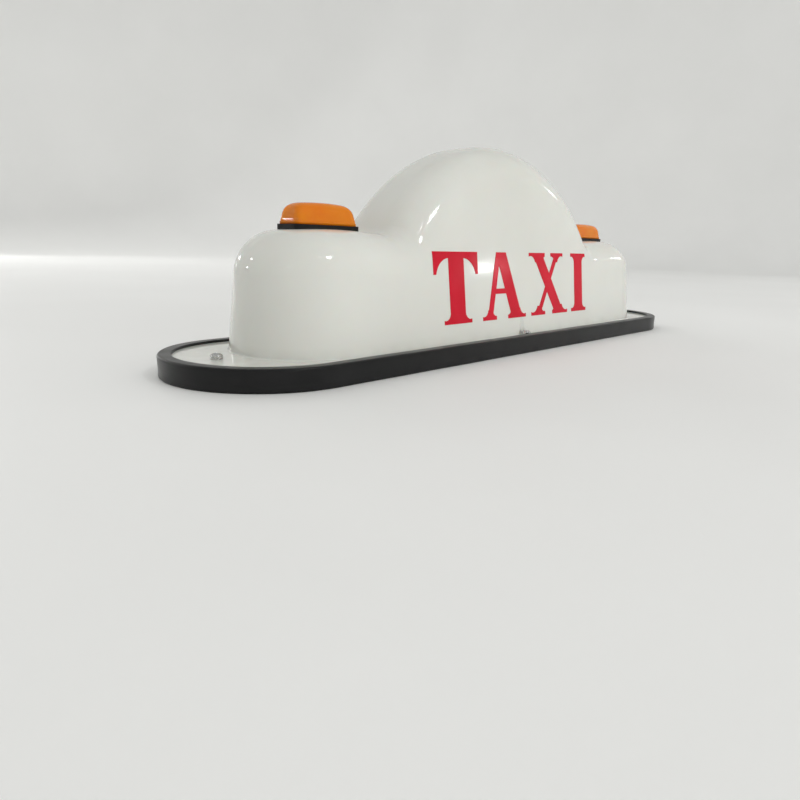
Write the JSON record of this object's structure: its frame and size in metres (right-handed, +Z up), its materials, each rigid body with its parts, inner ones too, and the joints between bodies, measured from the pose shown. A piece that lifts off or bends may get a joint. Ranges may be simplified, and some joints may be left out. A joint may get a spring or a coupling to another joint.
{
  "type": "taxi roof sign",
  "caption": "Magnetic taxi roof sign: white moulded shell with arched centre, red lettering on both faces, amber side markers, rubber edge and lamps inside.",
  "frame": {"origin": "centre of the sign in plan, on the surface it stands on", "axes": "+X along the sign, to the right for a reader of its front face; +Y to the rear face; +Z up"},
  "size_m": [0.6, 0.143, 0.1686],
  "materials": {
    "shell_white": "glossy moulded white",
    "trim_rubber": "satin black extruded rubber",
    "seal_rubber": "matt black",
    "boot_rubber": "matt black",
    "cup_rubber": "smooth black",
    "foam_gasket": "closed-cell foam",
    "plate_steel": "zinc plated sheet",
    "bright_steel": "bright zinc plate",
    "rivet_aluminium": "as drawn",
    "letter_red": "glossy crimson film",
    "amber_lens": "transparent amber polycarbonate",
    "circuit_board": "white solder mask",
    "led_resin": "amber tinted resin",
    "ferrite": "sintered ferrite",
    "phenolic": "brown laminate",
    "spring_bronze": "phosphor bronze strip",
    "brass": "plain brass",
    "bulb_glass": "clear glass",
    "tungsten": "tungsten wire",
    "terminal_plastic": "natural polyamide",
    "wire_insulation": "red insulation"
  },
  "bodies": {
    "housing": {"base_gasket": "foam_gasket", "base_plate": "plate_steel", "cable_grommet": "trim_rubber", "centre_bulb_holder": "plate_steel", "centre_holder_contact": "spring_bronze", "centre_holder_insulator": "phenolic", "edge_trim": "trim_rubber", "flange_nuts": "bright_steel", "flange_screws": "bright_steel", "flange_washers": "bright_steel", "front_lettering": "letter_red", "holder_rivets": "rivet_aluminium", "inner_wiring": "wire_insulation", "left_bulb_holder": "plate_steel", "left_holder_contact": "spring_bronze", "left_holder_insulator": "phenolic", "left_marker_board": "circuit_board", "left_marker_gasket": "seal_rubber", "left_marker_leds": "led_resin", "left_marker_lens": "amber_lens", "left_suction_cup": "cup_rubber", "marker_screws": "bright_steel", "rear_lettering": "letter_red", "right_bulb_holder": "plate_steel", "right_holder_contact": "spring_bronze", "right_holder_insulator": "phenolic", "right_marker_board": "circuit_board", "right_marker_gasket": "seal_rubber", "right_marker_leds": "led_resin", "right_marker_lens": "amber_lens", "right_suction_cup": "cup_rubber", "rivet_nuts": "bright_steel", "shell": "shell_white", "terminal_block": "terminal_plastic", "terminal_screws": "brass"},
    "outer_left_foot": {"outer_left_magnet_boot": "boot_rubber", "outer_left_magnet_cup": "bright_steel", "outer_left_magnet_ring": "ferrite", "outer_left_magnet_screw": "bright_steel"},
    "inner_left_foot": {"inner_left_magnet_boot": "boot_rubber", "inner_left_magnet_cup": "bright_steel", "inner_left_magnet_ring": "ferrite", "inner_left_magnet_screw": "bright_steel"},
    "inner_right_foot": {"inner_right_magnet_boot": "boot_rubber", "inner_right_magnet_cup": "bright_steel", "inner_right_magnet_ring": "ferrite", "inner_right_magnet_screw": "bright_steel"},
    "outer_right_foot": {"outer_right_magnet_boot": "boot_rubber", "outer_right_magnet_cup": "bright_steel", "outer_right_magnet_ring": "ferrite", "outer_right_magnet_screw": "bright_steel"},
    "left_bulb": {"left_bulb_cap": "brass", "left_bulb_glass": "bulb_glass", "left_bulb_filament": "tungsten"},
    "centre_bulb": {"centre_bulb_cap": "brass", "centre_bulb_glass": "bulb_glass", "centre_bulb_filament": "tungsten"},
    "right_bulb": {"right_bulb_cap": "brass", "right_bulb_glass": "bulb_glass", "right_bulb_filament": "tungsten"}
  },
  "joints": [
    {"name": "outer_left_foot_float", "type": "slide", "parent": "housing", "child": "outer_left_foot", "axis": [0, 0, 1], "range_m": [0, 0.0015]},
    {"name": "inner_left_foot_float", "type": "slide", "parent": "housing", "child": "inner_left_foot", "axis": [0, 0, 1], "range_m": [0, 0.0015]},
    {"name": "inner_right_foot_float", "type": "slide", "parent": "housing", "child": "inner_right_foot", "axis": [0, 0, 1], "range_m": [0, 0.0015]},
    {"name": "outer_right_foot_float", "type": "slide", "parent": "housing", "child": "outer_right_foot", "axis": [0, 0, 1], "range_m": [0, 0.0015]},
    {"name": "left_bulb_push", "type": "slide", "parent": "housing", "child": "left_bulb", "axis": [0, 0, -1], "range_m": [0, 0.002], "stiffness_N_per_m": 3000, "springref_m": -0.002, "deforming": ["left_holder_contact"]},
    {"name": "centre_bulb_push", "type": "slide", "parent": "housing", "child": "centre_bulb", "axis": [0, 0, -1], "range_m": [0, 0.002], "stiffness_N_per_m": 3000, "springref_m": -0.002, "deforming": ["centre_holder_contact"]},
    {"name": "right_bulb_push", "type": "slide", "parent": "housing", "child": "right_bulb", "axis": [0, 0, -1], "range_m": [0, 0.002], "stiffness_N_per_m": 3000, "springref_m": -0.002, "deforming": ["right_holder_contact"]}
  ]
}
